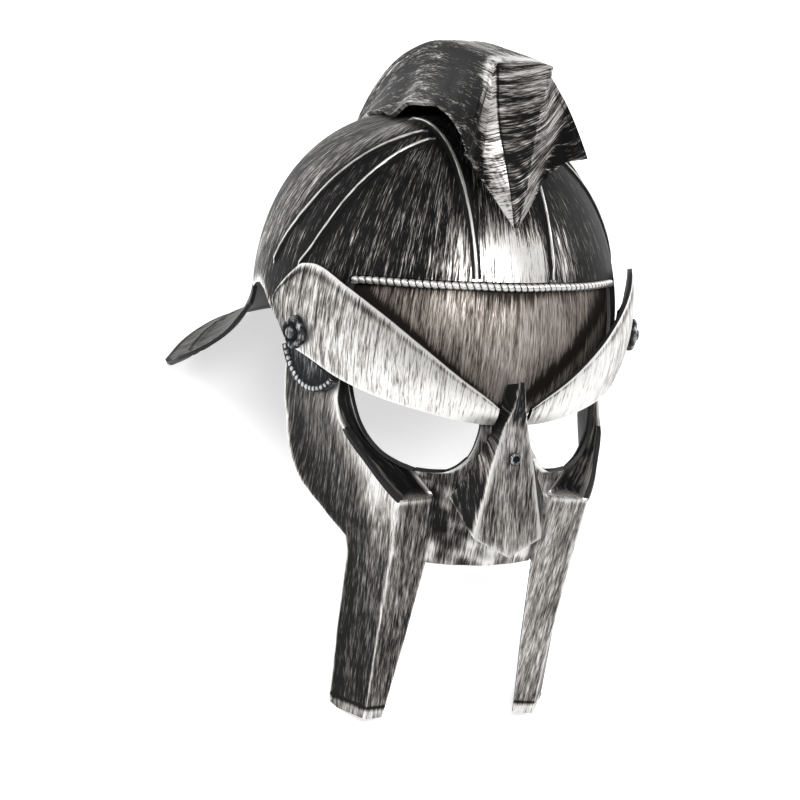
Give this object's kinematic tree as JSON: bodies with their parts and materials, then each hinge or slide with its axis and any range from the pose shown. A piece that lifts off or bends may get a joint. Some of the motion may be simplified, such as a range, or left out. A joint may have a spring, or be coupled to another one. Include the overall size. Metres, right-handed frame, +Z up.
{
  "type": "gladiator helmet",
  "caption": "Gladiator costume helmet in dry-brushed silver plastic: crested skull, flared neck guard, brow wings, half mask with cheek plates and a nose guard.",
  "frame": {"origin": "middle of the bounding box in plan, on the plane the helmet rests on", "axes": "+Z up, face towards -Y, +X to the wearer's left"},
  "size_m": [0.21, 0.3014, 0.2731],
  "materials": {
    "plastic_silver": "satin silver paint dry-brushed over black plastic",
    "plastic_dark": "satin dark grey with brushed silver high spots"
  },
  "bodies": {
    "root": {"skull": "plastic_silver", "rope_edge": "plastic_silver", "neck_guard": "plastic_silver", "crest": "plastic_silver", "forehead_plate": "plastic_silver", "brow_wing_left": "plastic_silver", "brow_wing_right": "plastic_silver", "face_mask": "plastic_silver", "nose_guard": "plastic_silver", "nose_stud": "plastic_dark", "rosette_left": "plastic_dark", "rosette_right": "plastic_dark", "cheek_disc_left": "plastic_dark", "cheek_disc_right": "plastic_dark"}
  },
  "joints": []
}
